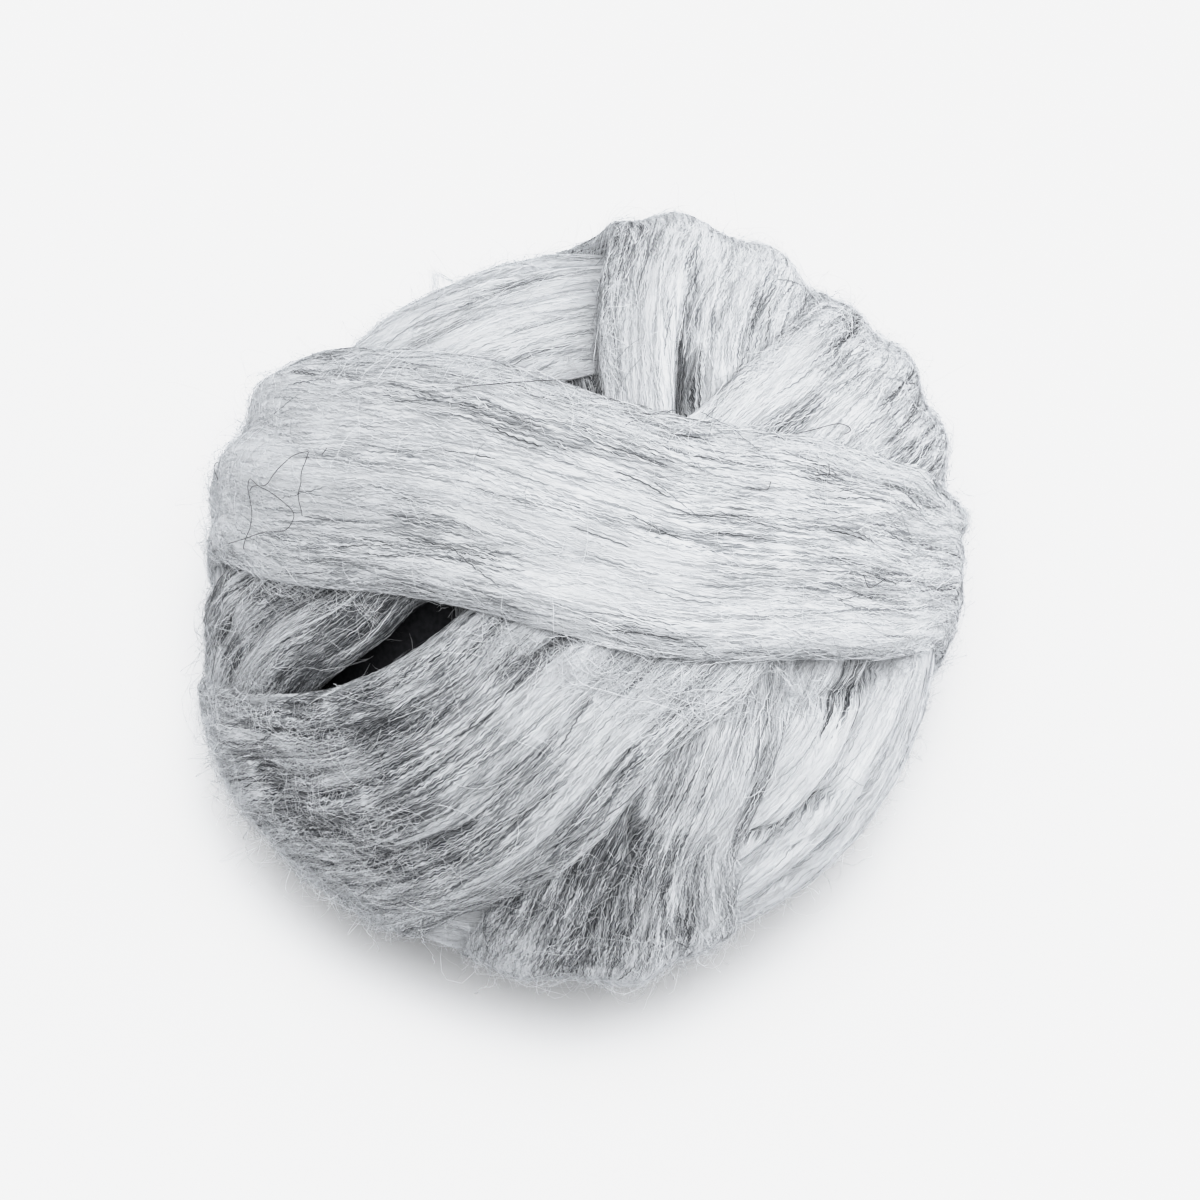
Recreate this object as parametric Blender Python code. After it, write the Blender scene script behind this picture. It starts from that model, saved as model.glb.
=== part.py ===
"""Ball of combed wool roving, hand wound from one long flat band of loose fibre.

The ball is one solid: an inner ball with the outer turns of the band wound over it. Each turn is a flat
band with rolled edges, and it is laid over the turns wound before it. The ball rests on a small flat spot.

Units are metres, +Z is up, and the origin is under the middle of the ball, on the surface it rests on.
Places on the ball are given as on a globe seen from above its pole. The bearing goes round the pole, with
0 to the right and 90 to the back, and the reach is the angle down from the pole, both in degrees. The pole
itself leans towards the front by POLE_LEAN.
"""
from collections import namedtuple
from math import cos, pi, radians, sin

import bmesh
import bpy
from mathutils import Matrix, Vector
from mathutils.bvhtree import BVHTree

MM = 0.001

# Driving dimensions.
CENTRE_HEIGHT = 71.0 * MM       # middle of the ball above the surface, less than its radius: the flat spot
INNER_RADIUS = 61.0 * MM        # inner ball, wound first and hidden
ROOT_RADIUS = 45.0 * MM         # how deep each turn's solid reaches, well inside the inner ball
EDGE_DROP = 5.5 * MM            # how far a band's rolled edge lies below its middle
SKIN = 2.6 * MM                 # least thickness of a band over the turns below it
EDGE_SKIN = 1.1 * MM            # least thickness at its rolled edge
EDGE_SQUARENESS = 2.6           # power of the band's section: more keeps it flat nearer to its edge
LOCK_DEPTH = 1.1 * MM           # height of the lengthwise swells that the locks of fibre make in a band
LOCK_WAVES = 2.6                # half waves of the swells from the middle of a band to its edge
LOCK_FADE = 4                   # power of the swells' fading towards the band's edge
LOCK_SWAY = 0.6                 # how far the swells wander along a turn, in radians
LOCK_SHIFT = 1.7                # how much they differ from one turn to the next, in radians
POLE_LEAN = radians(10.0)       # the pole of the winding leans this far towards the front

STATIONS = 48                   # cross-sections round one turn
STEPS_BETWEEN = 24              # fine steps between two places of a turn, from which the stations are taken
ACROSS = 14                     # faces across one band
HOLLOW_SEGMENTS = 20            # faces round a hollow
BALL_DIVISIONS = 4              # how finely the inner ball is divided
PULL_ROUNDS = 10                # how far a turn is pulled straight over the dips below it
FAR_OUT = 0.2                   # start of the rays that feel for the turns below

WOOL_COLOUR = (0.60, 0.62, 0.645, 1.0)
WOOL_ROUGHNESS = 0.95

# One place that the middle of a turn passes: bearing and reach in degrees, half of the band's width, and
# the crown, which is the distance of the band's middle from the middle of the ball, in millimetres.
Place = namedtuple("Place", "bearing reach half_width crown")

# The turns in the order they are wound, the innermost first.
TURNS = {
    "girdle": (
        Place(25, 88, 27, 66), Place(70, 98, 27, 65), Place(115, 103, 27, 63.5), Place(160, 98, 27, 65.5),
        Place(205, 88, 27, 66), Place(250, 82, 27, 65), Place(295, 79, 27, 65), Place(340, 82, 27, 66),
    ),
    "saddle": (
        Place(100, 10, 25, 62), Place(105, 45, 25, 63), Place(112, 80, 25, 63), Place(118, 110, 27, 66),
        Place(130, 140, 28, 68), Place(250, 166, 28, 64), Place(296, 135, 27, 67),
        Place(292, 100, 26, 66), Place(286, 70, 25, 65), Place(282, 35, 25, 63),
    ),
    "upper_left": (
        Place(25, 90, 24, 68), Place(70, 70, 24, 68), Place(112, 61, 25, 68), Place(160, 72, 24, 70),
        Place(200, 88, 23, 70.5), Place(250, 110, 24, 70), Place(292, 119, 25, 70),
        Place(340, 110, 24, 70),
    ),
    "lower_right_outer": (
        Place(230, 90, 20, 70), Place(275, 79, 20, 71.5), Place(320, 74, 20, 73), Place(5, 79, 20, 71),
        Place(50, 90, 22, 70), Place(95, 101, 24, 66), Place(140, 106, 25, 66.5),
        Place(185, 101, 22, 68.5),
    ),
    "lower_right_inner": (
        Place(230, 88, 18, 68), Place(265, 66, 18, 69), Place(295, 53, 20, 71), Place(325, 50, 20, 71.5),
        Place(355, 56, 17, 68), Place(20, 68, 18, 68), Place(50, 92, 22, 71), Place(85, 114, 24, 69),
        Place(125, 128, 24, 70), Place(165, 124, 24, 70.5), Place(200, 108, 22, 70),
    ),
    "left": (
        Place(95, 14, 15, 68), Place(161, 31, 13, 71), Place(176, 41, 14.5, 73), Place(183, 55, 17, 73.5),
        Place(190, 73, 18, 72), Place(198, 92, 20, 70.5), Place(208, 112, 22, 71),
        Place(228, 137, 24, 70), Place(290, 158, 24, 67), Place(350, 138, 24, 71), Place(8, 108, 24, 72),
        Place(16, 78, 22, 71), Place(24, 50, 20, 70), Place(45, 24, 18, 68),
    ),
    "upright": (
        Place(28, 24, 19, 71.5), Place(334, 24, 18, 71.5), Place(297, 34, 20, 73.5),
        Place(281, 47, 22, 75), Place(274, 73, 28, 76.5), Place(272, 98, 28, 75),
        Place(262, 122, 26, 73.5), Place(236, 146, 25, 70.5), Place(180, 158, 25, 69.5),
        Place(122, 148, 25, 73), Place(86, 126, 26, 74.5), Place(71, 102, 25, 77),
        Place(67, 79, 25.5, 79.5), Place(66, 56, 23, 77), Place(60, 40, 20, 75),
    ),
    "slanting": (
        Place(265, 12, 25, 74.5), Place(9, 16, 25, 74.5), Place(30, 37, 22, 77), Place(34, 62, 23, 80.5),
        Place(36, 88, 22, 80.5), Place(42, 112, 24, 77), Place(52, 136, 25, 74.5), Place(92, 158, 25, 72),
        Place(165, 160, 25, 71.5), Place(200, 138, 26, 72), Place(213, 110, 29, 72),
        Place(219, 80, 32, 74), Place(230, 47, 29, 76.5), Place(240, 29, 27, 75.5),
    ),
    "topmost": (
        Place(262, 167, 25, 73), Place(200, 149, 25, 75), Place(175, 126, 25, 77.5),
        Place(162, 104, 25, 77.5), Place(156, 84, 24.5, 76.5), Place(151, 52, 27, 77.5),
        Place(136, 29, 27, 78.5), Place(95, 14, 25.5, 78.5), Place(31, 18, 24.5, 78.5),
        Place(12, 36, 22, 78.5), Place(6, 56, 19, 77), Place(4, 80, 15, 74.5), Place(359, 104, 18, 75),
        Place(350, 128, 22, 75.5), Place(326, 150, 25, 74.5),
    ),
}

# Hollows that stay open between the turns, each from a start place to an end place in degrees: its middle
# lies at a distance from the ball's middle, and it reaches half its width across and its depth inwards.
Hollow = namedtuple("Hollow", "start end distance half_width depth")
HOLLOWS = {
    "beside_left_turn": Hollow((187, 21), (198, 56), 74.0, 4.2, 18.0),
    "beside_upright_turn": Hollow((100, 38), (82, 40), 71.0, 2.0, 8.0),
    "fold_of_upright_turn": Hollow((58, 31), (71, 54), 78.0, 1.7, 6.0),
}


def direction(bearing, reach):
    """Unit vector of a place on the winding's globe, in the part's own frame."""
    flat = sin(radians(reach))
    place = Vector((flat * cos(radians(bearing)), flat * sin(radians(bearing)), cos(radians(reach))))
    return Matrix.Rotation(POLE_LEAN, 3, "X") @ place


def curve_between(before, start, end, after, part):
    """Point between start and end on the smooth closed curve through all four values."""
    slope_in = (end - before) * 0.5
    slope_out = (after - start) * 0.5
    square, cube = part * part, part ** 3
    return (start * (2 * cube - 3 * square + 1) + slope_in * (cube - 2 * square + part)
            + end * (3 * square - 2 * cube) + slope_out * (cube - square))


def turn_line(places):
    """Even stations round a closed turn: the middle's direction, the half width and the crown."""
    rows = [(direction(p.bearing, p.reach), p.half_width * MM, p.crown * MM) for p in places]
    fine = []
    for index in range(len(rows)):
        four = [rows[(index + shift) % len(rows)] for shift in (-1, 0, 1, 2)]
        for step in range(STEPS_BETWEEN):
            columns = [[row[kind] for row in four] for kind in range(3)]
            fine.append([curve_between(*column, step / STEPS_BETWEEN) for column in columns])
    fine.append(fine[0])
    lengths = [0.0]
    for here, beyond in zip(fine, fine[1:]):
        lengths.append(lengths[-1] + (beyond[0] - here[0]).length)
    stations = []
    index = 0
    for number in range(STATIONS):
        wanted = lengths[-1] * number / STATIONS
        while lengths[index + 1] < wanted:
            index += 1
        part = (wanted - lengths[index]) / (lengths[index + 1] - lengths[index])
        middle, half_width, crown = (a * (1 - part) + b * part for a, b in zip(fine[index], fine[index + 1]))
        stations.append((middle.normalized(), half_width, crown))
    return stations


def laid_height(outward, laid):
    """Distance from the ball's middle to the outermost turn laid so far, in one direction."""
    hits = (tree.ray_cast(outward * FAR_OUT, -outward)[0] for tree in laid)
    return max(hit.length for hit in hits if hit)


def band_heights(grid, crowns, number, laid):
    """Distances of a band's face from the ball's middle: laid on the turns below, then pulled taut."""
    heights = []
    for index, row in enumerate(grid):
        sway = LOCK_SHIFT * number + LOCK_SWAY * sin(2 * pi * index / STATIONS)
        line = []
        for side, outward in row:
            flatness = (1.0 - abs(side) ** EDGE_SQUARENESS) ** 0.5
            locks = LOCK_DEPTH * cos(LOCK_WAVES * pi * side + sway) * (1.0 - side ** LOCK_FADE)
            own = crowns[index] - EDGE_DROP * (1.0 - flatness) + locks
            resting = laid_height(outward, laid) + EDGE_SKIN + (SKIN - EDGE_SKIN) * flatness
            line.append(max(own, resting))
        heights.append(line)
    chord = 2.0 * cos(2 * pi / STATIONS)
    for _ in range(PULL_ROUNDS):
        pulled = []
        for index, line in enumerate(heights):
            before, after = heights[index - 1], heights[(index + 1) % STATIONS]
            straight = [chord / (1.0 / a + 1.0 / b) for a, b in zip(before, after)]
            pulled.append([max(height, level) for height, level in zip(line, straight)])
        heights = pulled
    return heights


def wound_turn(name, places, number, laid, guides):
    """Closed solid ring of one turn: its face outside, and its root deep inside the inner ball."""
    stations = turn_line(places)
    sides = [sin(pi * (step / ACROSS - 0.5)) for step in range(ACROSS + 1)]
    grid = []
    for index, (middle, half_width, crown) in enumerate(stations):
        ahead = stations[(index + 1) % STATIONS][0] - stations[index - 1][0]
        sideways = middle.cross(ahead).normalized()
        angles = [side * half_width / crown for side in sides]
        turned = [middle * cos(angle) + sideways * sin(angle) for angle in angles]
        grid.append(list(zip(sides, turned)))
    heights = band_heights(grid, [station[2] for station in stations], number, laid)
    mesh = bmesh.new()
    rings = []
    for row, line in zip(grid, heights):
        ring = [mesh.verts.new(outward * height) for (_, outward), height in zip(row, line)]
        ring += [mesh.verts.new(outward * ROOT_RADIUS) for _, outward in (row[-1], row[0])]
        rings.append(ring)
    for index, ring in enumerate(rings):
        beyond = rings[(index + 1) % STATIONS]
        for corner in range(len(ring)):
            following = (corner + 1) % len(ring)
            mesh.faces.new((ring[corner], beyond[corner], beyond[following], ring[following]))
    bmesh.ops.recalc_face_normals(mesh, faces=mesh.faces)
    laid.append(BVHTree.FromBMesh(mesh))
    return guide_object("turn_" + name, mesh, guides)


def guide_object(name, mesh, guides):
    """Helper solid for a Boolean, drawn as wire and not rendered."""
    data = bpy.data.meshes.new(name)
    mesh.to_mesh(data)
    mesh.free()
    guide = bpy.data.objects.new(name, data)
    guide.location = (0.0, 0.0, CENTRE_HEIGHT)
    guide.hide_render = True
    guide.display_type = "WIRE"
    guides.objects.link(guide)
    return guide


def hollow_cutter(name, hollow, guides):
    """Long rounded cutter for a hollow that the turns leave open between them."""
    start, end = direction(*hollow.start), direction(*hollow.end)
    outward = (start + end).normalized()
    along = (end - start).normalized()
    sideways = outward.cross(along)
    distance = hollow.distance * MM
    half_length = (end - start).length * distance / 2
    axes = Matrix((along, sideways, outward)).transposed().to_4x4()
    size = Matrix.Diagonal((half_length, hollow.half_width * MM, hollow.depth * MM, 1.0))
    mesh = bmesh.new()
    bmesh.ops.create_uvsphere(mesh, u_segments=HOLLOW_SEGMENTS, v_segments=HOLLOW_SEGMENTS // 2, radius=1.0)
    bmesh.ops.transform(mesh, verts=mesh.verts, matrix=Matrix.Translation(outward * distance) @ axes @ size)
    return guide_object("hollow_" + name, mesh, guides)


def foot_cutter(guides):
    """Block under the ball whose top is the surface that the ball rests on."""
    mesh = bmesh.new()
    bmesh.ops.create_cube(mesh, size=FAR_OUT)
    below = Matrix.Translation((0.0, 0.0, -CENTRE_HEIGHT - FAR_OUT / 2))
    bmesh.ops.transform(mesh, verts=mesh.verts, matrix=below)
    return guide_object("surface_below", mesh, guides)


def wool_material():
    """Pale grey wool without shine."""
    wool = bpy.data.materials.new("grey_wool")
    wool.use_nodes = True
    shader = wool.node_tree.nodes["Principled BSDF"]
    shader.inputs["Base Color"].default_value = WOOL_COLOUR
    shader.inputs["Roughness"].default_value = WOOL_ROUGHNESS
    shader.inputs["Metallic"].default_value = 0.0
    wool.diffuse_color = WOOL_COLOUR
    return wool


def combine(ball, guide, operation):
    """Boolean modifier that joins a turn to the ball or cuts a hollow from it."""
    modifier = ball.modifiers.new(guide.name, "BOOLEAN")
    modifier.operation = operation
    modifier.solver = "EXACT"
    modifier.object = guide


def inner_ball(laid, collection):
    """Round inner ball that the turns are wound over and joined to."""
    mesh = bmesh.new()
    bmesh.ops.create_icosphere(mesh, subdivisions=BALL_DIVISIONS, radius=INNER_RADIUS)
    laid.append(BVHTree.FromBMesh(mesh))
    data = bpy.data.meshes.new("roving_ball")
    mesh.to_mesh(data)
    mesh.free()
    data.materials.append(wool_material())
    ball = bpy.data.objects.new("roving_ball", data)
    ball.location = (0.0, 0.0, CENTRE_HEIGHT)
    collection.objects.link(ball)
    return ball


def new_collection(name):
    """Collection of that name, linked to the scene."""
    collection = bpy.data.collections.new(name)
    bpy.context.scene.collection.children.link(collection)
    return collection


def main():
    """Clear the scene and wind the ball of roving."""
    for item in list(bpy.data.objects):
        bpy.data.objects.remove(item, do_unlink=True)
    part = new_collection("wool_roving")
    guides = new_collection("wool_roving_guides")
    laid = []
    ball = inner_ball(laid, part)
    for number, (name, places) in enumerate(TURNS.items()):
        combine(ball, wound_turn(name, places, number, laid, guides), "UNION")
    for name, hollow in HOLLOWS.items():
        combine(ball, hollow_cutter(name, hollow, guides), "DIFFERENCE")
    combine(ball, foot_cutter(guides), "DIFFERENCE")


main()
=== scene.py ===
"""Ball of combed wool roving, wound by hand from one long flat band of loose grey fibre.

Each turn of the band is a closed lens-shaped ring laid over the turns wound before it. Its face carries
lengthwise locks, folds and crimped strands, with loose fibres lying on it and stray ones standing off it.
Places on the ball are given as on a globe seen from above its pole: the bearing goes round the pole, with 0
to the right and 90 to the back, and the reach is the angle down from the pole, both in degrees.
"""

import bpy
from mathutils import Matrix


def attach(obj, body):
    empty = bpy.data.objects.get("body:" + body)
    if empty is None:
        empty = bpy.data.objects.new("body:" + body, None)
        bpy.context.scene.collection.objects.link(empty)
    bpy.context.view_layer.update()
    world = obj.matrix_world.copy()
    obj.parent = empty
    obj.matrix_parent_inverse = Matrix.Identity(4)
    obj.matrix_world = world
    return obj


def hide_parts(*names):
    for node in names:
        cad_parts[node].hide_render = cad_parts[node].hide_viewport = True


bl_info = {
    "name": "Wound wool roving",
    "version": (1, 0, 0),
    "blender": (4, 5, 0),
    "location": "3D View > Sidebar > Roving",
    "description": "Winds a ball of combed wool roving with its fibres, and sets it on a pale studio floor",
    "category": "Object",
}

from collections import namedtuple
from functools import partial
from math import ceil, cos, pi, radians, sin, sqrt, tan

import bpy
import numpy as np
from mathutils import Matrix, Vector
from mathutils.bvhtree import BVHTree

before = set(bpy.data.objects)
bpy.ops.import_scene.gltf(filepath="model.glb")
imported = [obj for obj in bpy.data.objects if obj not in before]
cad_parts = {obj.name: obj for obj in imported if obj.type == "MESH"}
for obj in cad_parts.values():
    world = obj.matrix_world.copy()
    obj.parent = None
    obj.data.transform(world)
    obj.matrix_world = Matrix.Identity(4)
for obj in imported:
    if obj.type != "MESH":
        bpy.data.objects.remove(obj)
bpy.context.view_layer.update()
BALL_NODE = "roving_ball"
BODY = "root"
BAKE_MAP = "OFBake"  # map through which the colours can be baked

MM = 0.001
FAR_OUT = 0.2  # start of the rays that feel for the turns below
STEPS_BETWEEN = 24  # fine steps between two places of a turn
CENTRE_HEIGHT = 71.0 * MM  # middle of the ball above the floor
MEAN_RADIUS = 76.0 * MM  # middle of the ball to its outer turns
FLOOR_GAP = 0.05 * MM  # least height of the wool over the floor
TINY = 1e-6  # keeps a divisor off nothing
CRIMP_LENGTH = 2.3  # one wave of the fibres' crimp, in millimetres
TURN_SEED, FIBRE_SEED, FRIZZ_SEED, STRAY_SEED = 100, 500, 700, 900


def named_rows(kind, table):
    """Table with the columns of all its rows named."""
    return {name: [kind(*row) for row in rows] for name, rows in table.items()}


# One place that the middle of a turn passes: bearing and reach in degrees, half of the band's width, and
# the crown, which is the distance of the band's middle from the middle of the ball, in millimetres.
Place = namedtuple("Place", "bearing reach half_width crown")

# The turns in the order they are wound, the innermost first.
TURNS = named_rows(Place, {
    "girdle": ((25, 88, 27, 66), (70, 98, 27, 65), (115, 103, 27, 63.5), (160, 98, 27, 65.5),
        (205, 88, 27, 66), (250, 82, 27, 65), (295, 79, 27, 65), (340, 82, 27, 66)),
    "saddle": ((100, 10, 25, 62), (105, 45, 25, 63), (112, 80, 25, 63), (118, 110, 27, 66),
        (130, 140, 28, 68), (250, 166, 28, 64), (296, 135, 27, 67), (292, 100, 26, 66), (286, 70, 25, 65),
        (282, 35, 25, 63)),
    "upper_left": ((25, 90, 24, 68), (70, 70, 24, 68), (112, 61, 25, 68), (160, 72, 24, 70),
        (200, 88, 23, 70.5), (250, 110, 24, 70), (292, 119, 25, 70), (340, 110, 24, 70)),
    "lower_right_outer": ((230, 90, 20, 70), (275, 79, 20, 71.5), (320, 74, 20, 73), (5, 79, 20, 71),
        (50, 90, 22, 70), (95, 101, 24, 66), (140, 106, 25, 66.5), (185, 101, 22, 68.5)),
    "lower_right_inner": ((230, 88, 18, 68), (265, 66, 18, 69), (295, 53, 20, 71), (325, 50, 20, 71.5),
        (355, 56, 17, 68), (20, 68, 18, 68), (50, 92, 22, 71), (85, 114, 24, 69), (125, 128, 24, 70),
        (165, 124, 24, 70.5), (200, 108, 22, 70)),
    "left": ((95, 14, 15, 68), (161, 31, 13, 71), (176, 41, 14.5, 73), (183, 55, 17, 73.5),
        (190, 73, 18, 72), (198, 92, 20, 70.5), (208, 112, 22, 71), (228, 137, 24, 70), (290, 158, 24, 67),
        (350, 138, 24, 71), (8, 108, 24, 72), (16, 78, 22, 71), (24, 50, 20, 70), (45, 24, 18, 68)),
    "upright": ((28, 24, 19, 71.5), (334, 24, 18, 71.5), (297, 34, 20, 73.5), (281, 47, 22, 75),
        (274, 73, 28, 76.5), (272, 98, 28, 75), (262, 122, 26, 73.5), (236, 146, 25, 70.5),
        (180, 158, 25, 69.5), (122, 148, 25, 73), (86, 126, 26, 74.5), (71, 102, 25, 77),
        (67, 79, 25.5, 79.5), (66, 56, 23, 77), (60, 40, 20, 75)),
    "slanting": ((265, 12, 25, 74.5), (9, 16, 25, 74.5), (30, 37, 22, 77), (34, 62, 23, 80.5),
        (36, 88, 22, 80.5), (42, 112, 24, 77), (52, 136, 25, 74.5), (92, 158, 25, 72),
        (165, 160, 25, 71.5), (200, 138, 26, 72), (213, 110, 29, 72), (219, 80, 32, 74),
        (230, 47, 29, 76.5), (240, 29, 27, 75.5)),
    "topmost": ((262, 167, 25, 73), (200, 149, 25, 75), (175, 126, 25, 77.5), (162, 104, 25, 77.5),
        (156, 84, 24.5, 76.5), (151, 52, 27, 77.5), (136, 29, 27, 78.5), (95, 14, 25.5, 78.5),
        (31, 18, 24.5, 78.5), (12, 36, 22, 78.5), (6, 56, 19, 77), (4, 80, 15, 74.5), (359, 104, 18, 75),
        (350, 128, 22, 75.5), (326, 150, 25, 74.5)),
})

# How each turn is laid: its mesh's stations round the ball and faces across, how pale its wool is, from -1 to
# 1, and how deep its creases are.
Lay = namedtuple("Lay", "stations columns tone relief")
LAYS = {
    "girdle": Lay(120, 36, 0.0, 0.6), "saddle": Lay(120, 36, -0.35, 0.6),
    "upper_left": Lay(180, 60, 0.16, 0.9),
    "lower_right_outer": Lay(180, 60, 0.2, 0.8), "lower_right_inner": Lay(180, 60, 0.2, 0.8),
    "left": Lay(180, 60, -0.03, 1.1), "upright": Lay(240, 80, 0.05, 0.7),
    "slanting": Lay(240, 80, 0.0, 1.0), "topmost": Lay(240, 80, 0.04, 0.6),
}

# Relief and tone of a turn's face; the darkness of a crease is painted shade. Tones go from 0 for the darkest
# to 1 for the palest.
Creases = namedtuple("Creases", "along across sharpness depth darkness")
WIDE_CREASES, FINE_CREASES = Creases(7, 9, 0.16, 1.0, 0.22), Creases(14, 27, 0.25, 0.45, 0.12)
LOCKS_ALONG, LOCKS_ACROSS, LOCK_TONE = 8, 11, 0.08
WEAVE, WEAVES, WEAVE_SHIFT = 0.05, 3, 0.37  # how far, how often and from where the locks weave across
DARK_DEEPER, DEEPNESS = 3.0, (0.4, 2.0)  # creases are deeper in dark patches, within these limits
# Tone of a turn's plain face, and the painted shade of its hidden underside.
PLAIN_TONE, UNDERSIDE_SHADE = 0.67, 0.3
FOLD_SHADE, FOLD_REACH = 0.09, 1.6  # painted shade for each millimetre of a fold's depth, down to this depth
UNDER_COLUMNS = 8  # faces across the hidden underside
GRAIN_SHIFT = 71.0  # millimetres between the streaks of two turns

# Streaks in the wool's colour, their length and width in millimetres: two that bend the others, the locks and
# the strands. Painted shade lies in dark lines between the fibres, in layers, each with its slope across the
# band.
Streak = namedtuple("Streak", "length width slope", defaults=(0.0,))
MEANDER, PHASE, LOCK, STRAND = Streak(22.0, 5.0), Streak(14.0, 1.6), Streak(70.0, 3.0), Streak(38.0, 0.9)
FIBRE_LINES = Streak(28.0, 0.36, 0.0), Streak(20.0, 0.46, 0.05), Streak(20.0, 0.56, -0.06)
LINE_SHARPNESS, LINE_POWER, LINE_SHIFT, LINE_MEAN = 9.0, 2.5, 40.0, 0.55
LOCK_SWING, STRAND_SWING = 0.6, 1.3  # how far they change the tone
# Fall of that swing and of the lines' contrast as the wool gets paler: the slope, the start and the least.
SWING_FALL, MOST_SWING, CONTRAST_FALL = (3.6, 2.6, 0.2), 0.9, (1.5, 1.5, 0.42)
# Bumps: shares of the strands and the lines in them, their strength and their depth in millimetres.
STRAND_RELIEF, LINE_RELIEF, BUMP, BUMP_DEPTH = 0.6, 0.4, 0.7, 0.35
# Tones that take the painted shade between the fibres, the grey and the pale colour; the inner ball's painted
# shade has two colours.
BAND_STOPS, FIBRE_STOPS, INNER_SHADE_STOPS = (0.1, 0.4, 0.72), (0.05, 0.35, 0.7), (0.3, 0.7)

# Marks along a turn's face, from one place to another in degrees, with half of their width in millimetres.
Mark = namedtuple("Mark", "start end half_width amount")

# Folds by their depth in millimetres, which is less than nothing where the wool is raised. A fold's depth
# also darkens it with painted shade.
FOLDS = named_rows(Mark, {
    "saddle": (((99, 38), (83, 38), 3, 8),),
    "upper_left": (((119, 49), (104, 49), 1.1, 1.8), ((113, 44), (93, 45), 1.3, 2),
        ((123, 62), (100, 60), 1.2, 1.2)),
    "lower_right_outer": (((292, 66), (310, 72), 1.2, 2.6), ((332, 63), (322, 71), 1.4, 2.2)),
    "lower_right_inner": (((303, 51), (323, 60), 1.4, 2.8), ((307, 60), (315, 62), 1, 1.5),
        ((350, 61), (343, 56), 2.6, 4.5), ((343, 55), (333, 42), 1.8, 2)),
    "upright": (((58, 31), (67, 45), 1.8, 6.5), ((67, 45), (72, 66), 1.5, 3.6),
        ((56, 49), (60, 66), 1.5, 2.8), ((79, 50), (79, 74), 1.2, 1), ((285, 29), (281, 46), 1.4, 2.4),
        ((281, 46), (272, 59), 1.8, 2.8), ((321, 39), (297, 55), 0.9, 1.7),
        ((325, 35), (299, 49), 1.4, -0.8)),
    "slanting": (((208, 52), (216, 30), 2, 1.6), ((211, 66), (215, 51), 1.2, 1.2),
        ((213, 77), (222, 42), 1.1, 1.4), ((218, 75), (226, 53), 1.3, 1.9),
        ((226, 53), (235, 39), 1.1, 1.5), ((228, 68), (243, 40), 1.2, 1.6),
        ((232, 73), (251, 39), 1.1, 1.3), ((198, 66), (202, 50), 1.4, 1.5),
        ((268, 5), (221, 19), 1.1, 2.6), ((231, 10), (219, 22), 1.5, -1), ((202, 18), (207, 26), 0.8, 1),
        ((39, 42), (41, 53), 0.9, 0.8), ((42, 58), (46, 82), 1.4, 1.1)),
    "topmost": (((160, 62), (120, 24), 1.2, 0.7), ((60, 12), (8, 44), 1.2, 0.6)),
})

# Patches by their tone, from -1 to 1: partly darker or paler wool, partly painted shade along folds and edges
# and at the hollow, and painted light.
PATCHES = named_rows(Mark, {
    # Painted shade along the slanting turn's folds and edges; its wide dark patches are partly darker wool
    # and partly painted shade.
    "slanting": (((206, 78), (236, 70), 18, -0.16), ((205, 62), (222, 58), 12, -0.1),
        ((208, 52), (217, 29), 3.6, -0.3), ((201, 66), (204, 34), 3.2, -0.34),
        ((218, 76), (235, 39), 2.4, -0.2), ((228, 68), (243, 42), 2.4, -0.14),
        ((262, 24), (290, 8), 9, 0.14), ((260, 6), (222, 18), 2, -0.25), ((38, 38), (43, 60), 7, 0.1),
        ((50, 42), (52, 60), 6, 0.1), ((220, 50), (244, 62), 13, -0.14), ((214, 42), (252, 32), 12, -0.12)),
    # The upright turn's dark patches are partly darker wool and partly painted shade beside the slanting
    # turn's edge and in its fold.
    "upright": (((281, 22), (270, 64), 13, -0.42), ((276, 24), (252, 62), 5, -0.2),
        ((314, 34), (297, 56), 3, 0.25), ((276, 80), (266, 60), 14, -0.14),
        ((58, 31), (67, 46), 2.2, -0.3), ((72, 84), (62, 80), 12, -0.05), ((100, 62), (60, 74), 12, -0.04)),
    # Painted shade under the topmost turn's edge and along the hollow.
    "left": (((180, 80), (190, 76), 7, -0.3), ((178, 36), (196, 52), 5, -0.1),
        ((198, 26), (199, 62), 5, -0.45), ((183, 20), (190, 42), 3.5, -0.4),
        ((176, 76), (183, 28), 3, -0.35)),
    # Painted shade in the folds.
    "lower_right_inner": (((334, 46), (348, 58), 6, -0.25), ((304, 52), (323, 60), 2, -0.25)),
    # The wide pale patch at the topmost turn's left end is painted light.
    "topmost": (((156, 40), (150, 8), 3.5, -0.14), ((168, 56), (172, 24), 3, -0.1),
        ((156, 88), (152, 40), 20, 0.12), ((140, 20), (350, 14), 14, 0.1),
        ((122, 33), (100, 24), 2.5, -0.12), ((200, 24), (300, 24), 3, -0.16)),
})

# Places where many loose fibres cross the band at all angles: the arc, how far to each side of it and how
# far they stand off, in millimetres, and their number.
Frizz = namedtuple("Frizz", "start end spread lift count")
FRIZZES = [Frizz(*row) for row in (
    ((202, 58), (240, 60), 22, 0.5, 620), ((285, 34), (268, 66), 12, 0.5, 110),
    ((176, 62), (198, 16), 2.2, 0.5, 360), ((181, 44), (192, 68), 14, 0.5, 60),
    ((200, 84), (238, 86), 7, 1.4, 620), ((250, 80), (290, 84), 7, 1, 420),
    ((97, 37), (84, 38), 3, 0.5, 110), ((150, 60), (170, 70), 14, 0.5, 220),
    ((40, 60), (50, 84), 16, 0.5, 220), ((198, 16), (320, 24), 5, 0.5, 620),
    ((320, 24), (350, 66), 5, 0.5, 560), ((137, 62), (112, 38), 3, 0.5, 260),
    ((112, 38), (64, 28), 3, 0.5, 160), ((64, 28), (22, 56), 3, 0.5, 200),
    ((140, 80), (172, 84), 7, 1, 260), ((60, 84), (10, 84), 8, 0.9, 420),
    ((194, 88), (200, 52), 3, 0.8, 300), ((87, 64), (85, 34), 3, 0.5, 260),
)]

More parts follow.
